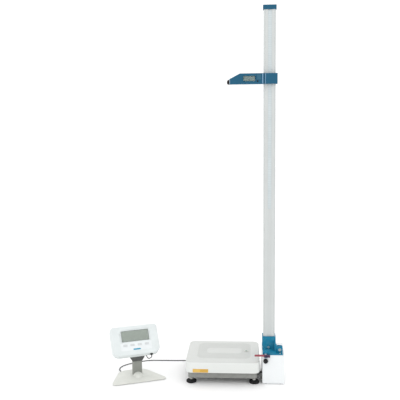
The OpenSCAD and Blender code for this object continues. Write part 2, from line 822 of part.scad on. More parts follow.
module indicator_gland() {
  color("black") at_indicator() translate([88, 20, -ind_h / 2]) {
    cylinder(r = 5, h = 6);
    translate([0, 0, -5]) cylinder(r = 8.5, h = 5, $fn = 6);
    translate([0, 0, -12]) cylinder(r = 6.5, h = 7);
  }
}

// Route of the indicator's short lead, in the indicator's frame
ind_route = [[88, 20, -103], [88, 20.4, -107], [86, 25, -111.5], [80.5, 34, -113.5],
  [74, 45, -112], [69, 57, -103], [66, 66, -89], [66, 67, -76], [66, 61, -67],
  [66, 52.2, -64]];

module indicator_lead() {
  color("black") at_indicator() sweep(ind_route, lead_r, 4, 8, [1, 0, 0]);
}

// ---- desk stand ----

// Frame of the stand: origin on the floor under the tilt pivot
module at_stand() {
  translate([stand_pos[0], stand_pos[1], 0]) rotate([0, 0, stand_yaw]) children();
}

module tilt_pin() {
  arm = yoke_w / 2;
  color("dimgray") at_stand() translate([-arm, 0, pivot_z]) {
    rod_x(tilt_r, 2 * arm);
    translate([-8, 0, 0]) rod_x(8.5, 8);
    translate([2 * arm, 0, 0]) rod_x(8.5, 8);
  }
}

// Half of the yoke's section, an arm that leans out from the foot and then stands upright
module yoke_wall(half, foot, top, t) {
  polygon([[foot, yoke_z], [half, yoke_z + 22], [half, top], [half - t, top],
    [half - t, yoke_z + 24], [foot - 2, yoke_z + t], [0, yoke_z + t], [0, yoke_z]]);
}

module tilt_yoke() {
  half = yoke_w / 2;
  foot = post_w / 2;
  front_top = pivot_z - 14;
  color("dimgray") at_stand() difference() {
    union() {
      for (m = [0, 1]) mirror([m, 0, 0]) {
        translate([0, -yoke_r, 0]) extrude_y(2 * yoke_r)
          yoke_wall(half, foot, pivot_z, yoke_t);
        translate([half - yoke_t, 0, pivot_z]) rod_x(yoke_r, yoke_t);
      }
      translate([-foot, -16, yoke_z]) cube([2 * foot, 34, yoke_t]);
      translate([0, -16, 0]) extrude_y(yoke_t)
        polygon([[-foot, yoke_z], [foot, yoke_z], [half, yoke_z + 22], [half, front_top],
          [-half, front_top], [-half, yoke_z + 22]]);
    }
    translate([-60, 0, pivot_z]) rod_x(tilt_r + 0.05, 120);
  }
}

module stand_post() {
  color("gray") at_stand() translate([0, post_y, stand_z]) difference() {
    slab(post_w, post_d, yoke_z - stand_z, 7);
    translate([0, 0, -eps]) slab(post_w - 6, post_d - 6, yoke_z, 4);
  }
}

// Rounded trapezoid of the stand's base, shrunk by a margin
module stand_outline(m = 0) {
  polygon(rounded_outline([[-180 + m, -108 + m], [171 - m, -108 + m], [59 - m, 94 - m],
    [-95 + m, 94 - m]], [40, 40, 44, 44]));
}

module plateau(m = 0) {
  polygon(rounded_outline([[-60 + m, -50 + m], [60 - m, -50 + m], [38 - m, 40 - m],
    [-38 + m, 40 - m]], [16, 16, 16, 16]));
}

stand_pad_xy = [[-124, -78], [122, -78], [34, 66], [-66, 66]];

module stand_base() {
  color("ivory") {
    at_stand() difference() {
      union() {
        hull() {
          translate([0, 0, rim_z]) linear_extrude(6) stand_outline();
          translate([0, 0, stand_z - eps]) linear_extrude(eps) plateau();
        }
        difference() {
          translate([0, post_y - post_d / 2, stand_z - 2]) scale([26, 54, 22])
            sphere(r = 1, $fn = 32);
          translate([-50, post_y - post_d / 2, -30]) cube(100);
          translate([-50, -100, stand_z - 108]) cube(100);
        }
      }
      difference() {
        hull() {
          translate([0, 0, rim_z - eps]) linear_extrude(6 - 2) stand_outline(3);
          translate([0, 0, stand_z - 4]) linear_extrude(eps) plateau(1);
        }
        for (p = stand_pad_xy) translate([p[0], p[1], 0]) cylinder(r = 9, h = 30, $fn = 32);
        translate([lead_end[0], lead_end[1], 0]) rotate([0, 0, lead_turn])
          translate([0.2, -6, 0]) cube([8, 12, 30]);
      }
      translate([lead_end[0], lead_end[1], 0]) rotate([0, 0, lead_turn])
        translate([-50, -5, 0]) cube([48, 10, 6.5]);
    }
  }
}

module stand_pads() {
  color("black") at_stand() for (p = stand_pad_xy) translate([p[0], p[1], 0])
    cylinder(r = 8, h = rim_z);
}

deck_cover();
bubble_level();
deck_spider();
load_cell();
cell_bolts();
base_frame();
overload_stops();
foot_locknuts();
cable_gland();
floor_lead();
foot_front_left();
foot_front_right();
foot_rear_left();
foot_rear_right();
base_box();
base_floor();
base_pads();
tie_bracket();
hinge_plate();
m6_bolts();
hinge_pin();
lock_knob();
lever_bracket();
cam_lever();
pivot_rod();
column_foot();
column_tube();
scale_strip();
top_cap();
foot_bolts();
slider_sleeve();
glide_pads();
arm_front();
arm_rear();
arm_tip();
slider_lens();
slider_lcd();
slider_board();
battery_door();
slider_screws();
slider_key();
slider_button();
indicator_front();
indicator_rear();
indicator_lens();
indicator_lcd();
keypad_panel();
key_1();
key_2();
key_3();
key_4();
indicator_board();
indicator_gland();
indicator_lead();
indicator_screws();
tilt_pin();
tilt_yoke();
stand_post();
stand_base();
stand_pads();
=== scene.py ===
"""Digital column scale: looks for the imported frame. Metres, Z up, +X towards the column."""
import json
import math
import bmesh
import bpy
from mathutils import Matrix, Vector


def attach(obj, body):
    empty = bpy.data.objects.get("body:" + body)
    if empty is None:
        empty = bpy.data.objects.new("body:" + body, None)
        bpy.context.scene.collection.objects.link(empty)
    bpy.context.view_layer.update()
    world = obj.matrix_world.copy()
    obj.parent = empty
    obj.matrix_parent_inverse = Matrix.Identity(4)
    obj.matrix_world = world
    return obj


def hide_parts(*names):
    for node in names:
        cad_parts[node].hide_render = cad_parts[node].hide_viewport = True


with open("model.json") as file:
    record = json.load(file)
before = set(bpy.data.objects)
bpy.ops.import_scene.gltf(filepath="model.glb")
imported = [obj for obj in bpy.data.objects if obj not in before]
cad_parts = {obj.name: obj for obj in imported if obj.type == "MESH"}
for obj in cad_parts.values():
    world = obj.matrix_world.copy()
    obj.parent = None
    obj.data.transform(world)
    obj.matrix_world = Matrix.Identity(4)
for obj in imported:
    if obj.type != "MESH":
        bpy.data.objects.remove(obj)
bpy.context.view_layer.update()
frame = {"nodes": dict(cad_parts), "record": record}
NODES = frame["nodes"]
TAU = 2 * math.pi

# ---- camera, at the photograph's viewing angle ----

CAMERA_PLACE = (0.1468, -3.9376, 1.6400)
CAMERA_TURN = math.radians(-4.07)
CAMERA_DOWN = math.radians(8.03)
CAMERA_ROLL = math.radians(0.687)
CAMERA_LENS = 59.89


def make_camera():
    """The camera turns left, looks down and leans by the angles above."""
    ahead = Vector((math.sin(CAMERA_TURN) * math.cos(CAMERA_DOWN),
                    math.cos(CAMERA_TURN) * math.cos(CAMERA_DOWN), -math.sin(CAMERA_DOWN)))
    level = Vector((math.cos(CAMERA_TURN), -math.sin(CAMERA_TURN), 0))
    below = ahead.cross(level)
    right = level * math.cos(CAMERA_ROLL) + below * math.sin(CAMERA_ROLL)
    up = right.cross(ahead)
    data = bpy.data.cameras.new("camera")
    data.lens = CAMERA_LENS
    data.sensor_width = 36
    data.clip_end = 50
    camera = bpy.data.objects.new("camera", data)
    bpy.context.scene.collection.objects.link(camera)
    turn = Matrix((right, up, -ahead)).transposed().to_4x4()
    camera.matrix_world = Matrix.Translation(CAMERA_PLACE) @ turn
    bpy.context.scene.camera = camera


make_camera()

# ---- materials ----


class Shader:
    """A Principled material whose colour, roughness and bump come from nodes."""

    def __init__(self, name, roughness=0.5, **fixed):
        self.material = bpy.data.materials.new(name)
        self.material.use_nodes = True
        self.tree = self.material.node_tree
        self.out = self.tree.nodes["Principled BSDF"]
        self.out.inputs["Roughness"].default_value = roughness
        for socket, value in fixed.items():
            self.out.inputs[socket.replace("_", " ")].default_value = value
        self.place = self.node("ShaderNodeTexCoord").outputs["Object"]
        self.height = None

    def node(self, kind, **values):
        made = self.tree.nodes.new(kind)
        for key, value in values.items():
            setattr(made, key, value)
        return made

    def join(self, a, b):
        self.tree.links.new(a, b)

    def stretched(self, scale):
        mapping = self.node("ShaderNodeMapping")
        mapping.inputs["Scale"].default_value = scale
        self.join(self.place, mapping.inputs["Vector"])
        return mapping.outputs["Vector"]

    def noise(self, scale, detail=3.0, stretch=None):
        made = self.node("ShaderNodeTexNoise")
        made.inputs["Scale"].default_value = scale
        made.inputs["Detail"].default_value = detail
        self.join(self.stretched(stretch) if stretch else self.place, made.inputs["Vector"])
        return made.outputs["Fac"]

    def cells(self, scale, feature="F1"):
        made = self.node("ShaderNodeTexVoronoi", feature=feature)
        made.inputs["Scale"].default_value = scale
        self.join(self.place, made.inputs["Vector"])
        return made.outputs["Distance"]

    def ramp(self, value, low, high, at=(0.3, 0.7)):
        made = self.node("ShaderNodeMapRange")
        made.inputs["From Min"].default_value = at[0]
        made.inputs["From Max"].default_value = at[1]
        made.inputs["To Min"].default_value = low
        made.inputs["To Max"].default_value = high
        self.join(value, made.inputs["Value"])
        return made.outputs["Result"]

    def mix(self, value, first, second):
        made = self.node("ShaderNodeMix", data_type="RGBA")
        for socket, colour in ((6, first), (7, second)):
            if isinstance(colour, tuple):
                made.inputs[socket].default_value = (*colour, 1)
            else:
                self.join(colour, made.inputs[socket])
        self.join(value, made.inputs[0])
        return made.outputs[2]

    def colour(self, socket):
        self.join(socket, self.out.inputs["Base Color"])

    def roughness(self, socket):
        self.join(socket, self.out.inputs["Roughness"])

    def bump(self, value, distance, strength=1.0):
        made = self.node("ShaderNodeBump")
        made.inputs["Distance"].default_value = distance
        made.inputs["Strength"].default_value = strength
        self.join(value, made.inputs["Height"])
        if self.height:
            self.join(self.height, made.inputs["Normal"])
        self.height = made.outputs["Normal"]
        self.join(self.height, self.out.inputs["Normal"])


def shade(colour, k):
    return tuple(min(1.0, c * k) for c in colour)


def edge_wear(s, colour, worn, amount=0.5):
    """Mixes a worn colour in where the surface turns sharply and the noise allows it."""
    pointy = s.node("ShaderNodeNewGeometry").outputs["Pointiness"]
    mask = s.ramp(pointy, 0.0, amount, at=(0.52, 0.60))
    blot = s.ramp(s.noise(60, 4), 0.0, 1.0, at=(0.45, 0.60))
    both = s.node("ShaderNodeMath", operation="MULTIPLY")
    s.join(mask, both.inputs[0])
    s.join(blot, both.inputs[1])
    return s.mix(both.outputs[0], colour, worn)


def powder_coat(name, colour, roughness=0.42, peel=0.00006, worn=None, gloss=0.5,
                clouds=(0.965, 1.02)):
    """Baked paint: fine orange peel, faint clouds in its colour, dust in its gloss."""
    s = Shader(name, roughness, Specular_IOR_Level=gloss)
    drift = s.ramp(s.noise(9, 3), 0.0, 1.0)
    tint = s.mix(drift, shade(colour, clouds[0]), shade(colour, clouds[1]))
    speck = s.ramp(s.noise(900, 2), 0.0, 1.0, at=(0.35, 0.65))
    tint = s.mix(speck, shade(colour, 0.95), tint)
    s.colour(edge_wear(s, tint, worn or shade(colour, 0.7), 0.35))
    s.roughness(s.ramp(s.noise(35, 4), roughness - 0.06, roughness + 0.10))
    s.bump(s.noise(700, 2), peel, 0.5)
    return s.material


def moulded(name, colour, roughness=0.5, grain=650, depth=0.00008, gloss=0.5):
    """Injection-moulded plastic with an eroded texture."""
    s = Shader(name, roughness, Specular_IOR_Level=gloss)
    clouds = s.ramp(s.noise(14, 3), 0.0, 1.0)
    tint = s.mix(clouds, shade(colour, 0.94), shade(colour, 1.04))
    pits = s.ramp(s.cells(grain), 0.0, 1.0, at=(0.0, 0.6))
    s.colour(s.mix(pits, shade(colour, 0.9), tint))
    s.roughness(s.ramp(s.noise(50, 4), roughness - 0.07, roughness + 0.09))
    s.bump(s.cells(grain), depth, 0.6)
    return s.material


def brushed(name, colour, along=(1, 1, 0.01), roughness=0.32, metallic=1.0):
    """Metal with fine lines drawn along one direction."""
    s = Shader(name, roughness, Metallic=metallic)
    lines = s.noise(1400, 2, stretch=along)
    clouds = s.ramp(s.noise(6, 3), 0.0, 1.0)
    tint = s.mix(clouds, shade(colour, 0.94), shade(colour, 1.03))
    s.colour(s.mix(s.ramp(lines, 0.0, 1.0), shade(colour, 0.88), tint))
    s.roughness(s.ramp(lines, roughness - 0.08, roughness + 0.12))
    s.bump(lines, 0.00002, 0.5)
    return s.material


def zinc(name, colour=(0.70, 0.70, 0.67)):
    """Zinc plating: pale blotches and small scratches."""
    s = Shader(name, 0.3, Metallic=1.0)
    blotch = s.ramp(s.noise(180, 4), 0.0, 1.0, at=(0.35, 0.65))
    s.colour(s.mix(blotch, shade(colour, 0.82), colour))
    s.roughness(s.ramp(s.noise(320, 3), 0.22, 0.42))
    s.bump(s.noise(500, 3), 0.00004, 0.4)
    return s.material


def rubber(name):
    """Black rubber with pale dust."""
    colour = (0.012, 0.012, 0.013)
    s = Shader(name, 0.75, Specular_IOR_Level=0.22)
    dust = s.ramp(s.noise(90, 5), 0.0, 1.0, at=(0.45, 0.8))
    s.colour(s.mix(dust, colour, shade(colour, 2.4)))
    s.roughness(s.ramp(s.noise(240, 3), 0.62, 0.85))
    s.bump(s.noise(900, 2), 0.00010, 0.6)
    return s.material


def clear_window(name):
    """Thin clear plastic with a slight smear in its gloss."""
    s = Shader(name, 0.06, IOR=1.49, Alpha=0.05, Specular_IOR_Level=0.12)
    s.colour(s.mix(s.ramp(s.noise(40, 2), 0.0, 1.0), (0.80, 0.86, 0.85), (0.90, 0.93, 0.93)))
    s.roughness(s.ramp(s.noise(70, 4), 0.03, 0.10))
    return s.material


def liquid_crystal(name, colour):
    """Unlit display: faint clouds, a fine grain and a gloss that varies."""
    s = Shader(name, 0.3, Specular_IOR_Level=0.3)
    cloud = s.ramp(s.noise(22, 3), 0.0, 1.0)
    tint = s.mix(cloud, shade(colour, 0.94), shade(colour, 1.04))
    grain = s.ramp(s.noise(500, 2), 0.0, 1.0)
    s.colour(s.mix(grain, shade(colour, 0.97), tint))
    s.roughness(s.ramp(s.noise(30, 3), 0.24, 0.36))
    s.bump(s.noise(400, 2), 0.00001, 0.3)
    return s.material


def circuit_board(name):
    """Green board with raised tracks."""
    s = Shader(name, 0.4)
    tracks = s.ramp(s.cells(260, "DISTANCE_TO_EDGE"), 0.0, 1.0, at=(0.02, 0.08))
    s.colour(s.mix(tracks, (0.05, 0.30, 0.12), (0.015, 0.12, 0.05)))
    s.roughness(s.ramp(tracks, 0.3, 0.45, at=(0.0, 1.0)))
    s.bump(tracks, 0.00004, 0.5)
    return s.material


def printed_strip(name):
    """Pale film whose fine bars repeat each centimetre up the column."""
    s = Shader(name, 0.35)
    split = s.node("ShaderNodeSeparateXYZ")
    s.join(s.place, split.inputs[0])
    bars = s.node("ShaderNodeMath", operation="PINGPONG")
    s.join(split.outputs[2], bars.inputs[0])
    bars.inputs[1].default_value = 0.005
    line = s.ramp(bars.outputs[0], 1.0, 0.0, at=(0.0004, 0.0007))
    film = s.mix(s.ramp(s.noise(25, 3), 0.0, 1.0), (0.53, 0.585, 0.60), (0.58, 0.635, 0.65))
    s.colour(s.mix(line, film, (0.42, 0.47, 0.49)))
    s.roughness(s.ramp(s.noise(60, 3), 0.28, 0.42))
    s.bump(s.noise(600, 2), 0.00002, 0.4)
    return s.material


MATERIALS = {
    "white_enamel": powder_coat("white_enamel", (0.715, 0.735, 0.715), 0.38),
    "grey_paint": powder_coat("grey_paint", (0.245, 0.25, 0.235), 0.5),
    "box_white": powder_coat("box_white", (0.80, 0.825, 0.835), 0.46,
                             worn=(0.79, 0.815, 0.825), clouds=(0.988, 1.01)),
    "blue_paint": powder_coat("blue_paint", (0.006, 0.190, 0.325), 0.42,
                              worn=(0.07, 0.24, 0.33), gloss=0.2),
    "blue_plastic": moulded("blue_plastic", (0.013, 0.098, 0.175), 0.45, gloss=0.2),
    "column_aluminium": brushed("column_aluminium", (0.61, 0.635, 0.63), roughness=0.45,
                                metallic=0.3),
    "strip_print": printed_strip("strip_print"),
    "zinc_steel": zinc("zinc_steel"),
    "dark_steel": powder_coat("dark_steel", (0.105, 0.108, 0.105), 0.5, gloss=0.3),
    "cell_aluminium": brushed("cell_aluminium", (0.72, 0.72, 0.72), along=(0.01, 1, 1)),
    "black_rubber": rubber("black_rubber"),
    "black_plastic": moulded("black_plastic", (0.008, 0.008, 0.009), 0.42, gloss=0.25),
    "red_plastic": moulded("red_plastic", (0.30, 0.06, 0.08), 0.42, gloss=0.3),
    "case_white": moulded("case_white", (0.70, 0.745, 0.745), 0.48),
    "stand_ivory": moulded("stand_ivory", (0.70, 0.71, 0.665), 0.5),
    "grey_plastic": moulded("grey_plastic", (0.275, 0.285, 0.26), 0.5, gloss=0.3),
    "clear_window": clear_window("clear_window"),
    "lcd_grey": liquid_crystal("lcd_grey", (0.25, 0.29, 0.25)),
    "board_green": circuit_board("board_green"),
    "level_green": moulded("level_green", (0.25, 0.62, 0.52), 0.2),
    "bracket_purple": powder_coat("bracket_purple", (0.085, 0.045, 0.095), 0.45, gloss=0.3),
    "pad_ivory": moulded("pad_ivory", (0.72, 0.71, 0.65), 0.4),
    "key_grey": moulded("key_grey", (0.62, 0.64, 0.65), 0.5),
    "key_teal": moulded("key_teal", (0.03, 0.12, 0.19), 0.5, gloss=0.25),
}


# ---- making pieces ----

MM = 0.001
ROOT = "scale_and_stand"

# Driving sizes of the part, in mm
DECK_W, DECK_D, DECK_TOP = 440, 370, 140
COVER_LOW = 74
COVER_R = 36
SUNK_C = (6, 13)
FOOT_X, FOOT_Y = 188, 138
ROD_X, ROD_Y = 255.5, -166
BOX_FRONT = -159
KNOB_Z = 145
SLIDER_Z = 1761
HEAD_FRONT = -92
LCD = (2, 26, 172, 72)
KEY_X = (-66, -22, 22, 66)
KEY_Z = -32


def in_metres(x, y, z):
    return Vector((x, y, z)) * MM


def place(obj, body, slot, material=None, hides=()):
    """Links a finished piece, gives it its look, and hangs it on a body."""
    if obj.name not in bpy.context.scene.collection.objects:
        bpy.context.scene.collection.objects.link(obj)
    obj.data.materials.clear()
    obj.data.materials.append(material or MATERIALS[slot])
    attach(obj, body)
    if hides:
        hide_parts(*hides)
    return obj


def from_bmesh(name, bm, smooth=True):
    bmesh.ops.remove_doubles(bm, verts=bm.verts, dist=1e-6)
    bmesh.ops.recalc_face_normals(bm, faces=bm.faces)
    mesh = bpy.data.meshes.new(name)
    bm.to_mesh(mesh)
    bm.free()
    for face in mesh.polygons:
        face.use_smooth = smooth
    return bpy.data.objects.new(name, mesh)


def soften(obj, width, segments=3, angle=30):
    """Rounded edges, then normals that keep the flat faces flat."""
    bevel = obj.modifiers.new("edges", "BEVEL")
    bevel.width = width
    bevel.segments = segments
    bevel.limit_method = "ANGLE"
    bevel.angle_limit = math.radians(angle)
    bevel.use_clamp_overlap = True
    bevel.harden_normals = False
    for face in obj.data.polygons:
        face.use_smooth = True
    flat = obj.modifiers.new("flat", "WEIGHTED_NORMAL")
    flat.keep_sharp = False
    flat.weight = 80


def skin(bm, rows):
    """Faces between neighbouring rows of vertices, each row closed on itself."""
    for a, b in zip(rows, rows[1:]):
        for i in range(len(a)):
            j = (i + 1) % len(a)
            bm.faces.new((a[i], a[j], b[j], b[i]))


def loft(name, rings, close_first=True, smooth=True):
    """Closed skin through rings that have one number of points each, in metres."""
    bm = bmesh.new()
    rows = [[bm.verts.new(p) for p in ring] for ring in rings]
    skin(bm, rows)
    if close_first:
        bm.faces.new(list(reversed(rows[0])))
    bm.faces.new(rows[-1])
    return from_bmesh(name, bm, smooth)


def hoop(name, rings):
    """Closed skin whose last ring joins its first, such as a rim round a window."""
    bm = bmesh.new()
    rows = [[bm.verts.new(p) for p in ring] for ring in rings]
    skin(bm, rows + rows[:1])
    return from_bmesh(name, bm)


def turned(name, profile, centre, axis, steps=48):
    """Lathe work: (radius, height) pairs in mm about an axis through centre, in mm."""
    turn = Vector(axis).normalized().to_track_quat("Z", "Y").to_matrix()
    rings = []
    for r, h in profile:
        ring = []
        for k in range(steps):
            a = TAU * k / steps
            local = Vector((max(r, 0.01) * math.cos(a), max(r, 0.01) * math.sin(a), h))
            ring.append((Vector(centre) + turn @ local) * MM)
        rings.append(ring)
    return loft(name, rings)


def rounded(w, d, r, per_corner=10, per_side=6):
    """Points of a rounded rectangle about the origin, anticlockwise, in mm."""
    out = []
    corners = ((1, 1, 0), (-1, 1, 90), (-1, -1, 180), (1, -1, 270))
    for i, (sx, sy, start) in enumerate(corners):
        cx, cy = sx * (w / 2 - r), sy * (d / 2 - r)
        arc = []
        for k in range(per_corner + 1):
            a = math.radians(start + 90 * k / per_corner)
            arc.append((cx + r * math.cos(a), cy + r * math.sin(a)))
        nx, ny, nstart = corners[(i + 1) % 4]
        a = math.radians(nstart)
        end = (nx * (w / 2 - r) + r * math.cos(a), ny * (d / 2 - r) + r * math.sin(a))
        out += arc
        for k in range(1, per_side):
            t = k / per_side
            out.append((arc[-1][0] + (end[0] - arc[-1][0]) * t,
                        arc[-1][1] + (end[1] - arc[-1][1]) * t))
    return out


def carve(obj, cutters):
    """Cuts the cutters out of obj for good, and throws the cutters away."""
    for cutter in cutters:
        bpy.context.scene.collection.objects.link(cutter)
        cut = obj.modifiers.new("cut", "BOOLEAN")
        cut.operation = "DIFFERENCE"
        cut.solver = "EXACT"
        cut.object = cutter
    if obj.name not in bpy.context.scene.collection.objects:
        bpy.context.scene.collection.objects.link(obj)
    graph = bpy.context.evaluated_depsgraph_get()
    made = bpy.data.meshes.new_from_object(obj.evaluated_get(graph))
    obj.modifiers.clear()
    obj.data = made
    for cutter in cutters:
        bpy.data.objects.remove(cutter, do_unlink=True)


def cord_curve(name, points, diameter):
    """A smooth curve through points in metres, as thick as the cord."""
    data = bpy.data.curves.new(name, "CURVE")
    data.dimensions = "3D"
    data.bevel_depth = diameter / 2
    data.bevel_resolution = 5
    data.resolution_u = 10
    line = data.splines.new("BEZIER")
    line.bezier_points.add(len(points) - 1)
    for point, co in zip(line.bezier_points, points):
        point.co = co
        point.handle_left_type = point.handle_right_type = "AUTO"
    return bpy.data.objects.new(name, data)


# The indicator's frame: X along its width, Y into the housing, Z up its face, in mm
INDICATOR_C = Vector((-528, -105, 246))
INDICATOR_TURN = (Matrix.Rotation(math.radians(21), 3, "Z")
                  @ Matrix.Rotation(math.radians(-38), 3, "X"))
STAND_TURN = Matrix.Rotation(math.radians(21), 3, "Z")
PIVOT = INDICATOR_C + INDICATOR_TURN @ Vector((0, 75, -45))
STAND_SHIFT = 13


def on_indicator(x, y, z):
    return (INDICATOR_C + INDICATOR_TURN @ Vector((x, y, z))) * MM


def on_stand(x, y, z):
    return (Vector((PIVOT.x, PIVOT.y, 0)) + STAND_TURN @ Vector((x + STAND_SHIFT, y, z))) * MM


# ---- cords ----

LEAD = 0.005


def along(route, i, t):
    """Point on a smooth line through the route, a share t of the way from point i."""
    a, b = route[i], route[i + 1]
    before = route[max(i - 1, 0)]
    after = route[min(i + 2, len(route) - 1)]
    return [0.5 * (2 * a[k] + (b[k] - before[k]) * t
                   + (2 * before[k] - 5 * a[k] + 4 * b[k] - after[k]) * t ** 2
                   + (3 * a[k] - before[k] - 3 * b[k] + after[k]) * t ** 3) for k in range(3)]


def make_cords():
    low = 2.6
    route = [(-150, 191, 56), (-150, 205, 54), (-154, 220, 44), (-162, 228, 26),
             (-176, 226, 11), (-196, 214, 4), (-220, 198, low), (-250, 188, low),
             (-300, 184, low), (-368, 183, low), (-425, 182, low), (-483, 179, low),
             (-531, 162, low), (-571, 140, low), (-606, 117, low), (-633, 93, low),
             (-651, 64, low), (-657, 33, low), (-650, 4, low), (-627, -27, low)]
    lead = cord_curve("lead_along_floor", [Vector(p) * MM for p in route], LEAD)
    place(lead, ROOT, "black_rubber", hides=("floor_lead",))
    route = [(88, 20, -103), (88, 20.4, -107), (86, 25, -111.5), (80.5, 34, -113.5),
             (74, 45, -112), (69, 57, -103), (66, 66, -89), (66, 67, -76), (66, 61, -67),
             (66, 52.2, -64)]
    # a point halfway between each two drawn ones makes the lead bend evenly
    fine = [on_indicator(*along(route, i, t)) for i in range(len(route) - 1) for t in (0.0, 0.5)]
    fine.append(on_indicator(*route[-1]))
    short = cord_curve("lead_at_indicator", fine, LEAD)
    place(short, "indicator", "black_rubber", hides=("indicator_lead",))


make_cords()

# ---- platform ----


def make_cover():
    """Pressed cover: hem, skirt, rolled top edge, sunk ring and a raised middle."""
    def ring(w, d, r, z, centre=(0, 0)):
        return [in_metres(x + centre[0], y + centre[1], z) for x, y in rounded(w, d, r)]

    def sunk_edge(w, d, r, grow, z):
        return ring(w + 2 * grow, d + 2 * grow, r + grow, z, SUNK_C)

    hem = ((3, 130), (3, COVER_LOW + 2), (2.5, COVER_LOW + 0.4), (1.5, COVER_LOW),
           (0.5, COVER_LOW + 0.4), (0, COVER_LOW + 1.5), (0, 84), (0.2, 85), (0, 86))
    rings = [ring(DECK_W - 2 * inset, DECK_D - 2 * inset, COVER_R - inset, z)
             for inset, z in hem]
    roll = 9
    for k in range(9):
        a = math.radians(90 * k / 8)
        shrink = roll * (1 - math.cos(a))
        rings.append(ring(DECK_W - 2 * shrink, DECK_D - 2 * shrink, COVER_R - shrink * 0.6,
                          DECK_TOP - roll + roll * math.sin(a)))
    rings.append(ring(400, 330, 24, DECK_TOP))
    # how far the rounded edge has gone down at each distance from its middle
    drops = ((7, 0), (4.5, 0.2), (2.2, 0.8), (0, 1.4), (-2.2, 1.85), (-5, 2))
    rings += [sunk_edge(324, 258, 42, grow, DECK_TOP - drop) for grow, drop in drops]
    rings.append(ring(268, 172, 34, DECK_TOP - 2, SUNK_C))
    rises = ((5, 2), (2.2, 1.85), (0, 1.4), (-2.2, 0.8), (-4.5, 0.2), (-7, 0))
    rings += [sunk_edge(212, 86, 24, grow, DECK_TOP - drop) for grow, drop in rises]
    rings.append(ring(150, 40, 12, DECK_TOP, SUNK_C))
    rings.append(ring(60, 12, 5, DECK_TOP, SUNK_C))
    cover = loft("pressed_cover", rings, close_first=False)
    place(cover, ROOT, "white_enamel", hides=("deck_cover",))
    # painted shade: the cover's upward faces take a darker copy of the enamel, and the sunk
    # ring's a darker one still, for the shade that falls on them
    top = powder_coat("enamel_top_painted_shade", (0.625, 0.64, 0.62), 0.44)
    sunk = powder_coat("enamel_sunk_painted_shade", (0.565, 0.58, 0.56), 0.5)
    cover.data.materials.append(top)
    cover.data.materials.append(sunk)
    # upward faces near the top get the painted-shade copies, the sunk ring's floor the darker one
    for face in cover.data.polygons:
        height = face.center.z / MM
        if face.normal.z > 0.6 and height > DECK_TOP - 2.1:
            face.material_index = 2 if height < DECK_TOP - 1.2 else 1


def make_level():
    """Bubble level: bezel, green liquid, the bubble and a black ring, let into the cover."""
    x, y = 141, 10
    bezel = turned("level_bezel", [(7.6, 138.6), (7.6, 141.0), (8.2, 141.5), (10.6, 141.5),
                                   (12.2, 140.9), (12.8, 139.9), (12.8, 139.6)], (x, y, 0),
                   (0, 0, 1))
    place(bezel, ROOT, "pad_ivory")
    fluid = turned("level_fluid", [(0, 136), (8.0, 136), (8.0, 140.2), (6.5, 140.9),
                                   (3.5, 141.3), (0, 141.4)], (x, y, 0), (0, 0, 1))
    dark = moulded("level_fluid", (0.03, 0.15, 0.13), 0.12, grain=300, depth=0.00001)
    place(fluid, ROOT, "level_green", dark, hides=("bubble_level",))
    bubble = turned("level_bubble", [(0, 141.2), (2.7, 141.35), (2.5, 141.65), (1.3, 141.9),
                                     (0, 142.0)], (x - 1.0, y + 1.2, 0), (0, 0, 1), 24)
    place(bubble, ROOT, "level_green", moulded("level_air", (0.45, 0.72, 0.62), 0.1,
                                               grain=300, depth=0.00001))
    circle = turned("level_mark", [(3.5, 141.28), (4.0, 141.42), (4.1, 141.2), (3.6, 141.1)],
                    (x, y, 0), (0, 0, 1), 32)
    place(circle, ROOT, "black_plastic")


def make_label():
    """Plain yellow label on the skirt, with a lighter field and thin rules."""
    skirt_front = -DECK_D / 2

    def plate(name, x0, x1, z0, z1, y, t, colour):
        outline = rounded(x1 - x0, z1 - z0, min(2.0, (z1 - z0) / 3), 4, 2)
        cx, cz = (x0 + x1) / 2, (z0 + z1) / 2
        rings = [[in_metres(px + cx, depth, pz + cz) for px, pz in outline]
                 for depth in (y, y - t)]
        place(loft(name, rings, smooth=False), ROOT, "strip_print",
              moulded(name, colour, 0.35, 900, 0.00002))

    plate("label_yellow", -176, -84, 76.5, 98, skirt_front, 0.4, (0.66, 0.38, 0.05))
    plate("label_field", -172, -134, 79.5, 95, skirt_front - 0.35, 0.2, (0.72, 0.47, 0.11))
    for k, z in enumerate((92, 87, 82)):
        plate(f"label_rule_{k + 1}", -129, -90, z - 0.6, z + 0.6, skirt_front - 0.35, 0.2,
              (0.45, 0.28, 0.06))


def make_foot(node, body, sx, sy):
    """Rubber pad moulded onto a threaded stud, with a hexagon to turn it by."""
    x, y = sx * FOOT_X, sy * FOOT_Y
    pad = turned(f"{body}_pad", [(0, 0), (25, 0), (28.5, 0.8), (30, 2.6), (30, 5.2), (29.2, 6),
                                 (29.2, 7), (30, 7.8), (30, 10), (29, 12), (25.5, 14.6),
                                 (20, 16.6), (14.5, 17.6), (13, 18.4), (0, 18.4)],
                 (x, y, 0), (0, 0, 1), 64)
    place(pad, body, "black_rubber", hides=(node,))
    nut = turned(f"{body}_hexagon", [(0, 18), (10.6, 18), (12.6, 19.2), (12.6, 26), (10.6, 27.2),
                                     (0, 27.2)], (x, y, 0), (0, 0, 1), 6)
    for face in nut.data.polygons:
        face.use_smooth = False
    place(nut, body, "zinc_steel")
    thread = [(0, 27)]
    pitch = 1.25
    z = 27.0
    while z < 64:
        thread += [(5.0, z), (5.0, z + 0.35), (4.3, z + 0.75), (4.3, z + 0.9)]
        z += pitch
    thread += [(4.3, 64.4), (3.4, 65), (0, 65)]
    stud = turned(f"{body}_stud", thread, (x, y, 0), (0, 0, 1), 32)
    place(stud, body, "zinc_steel")


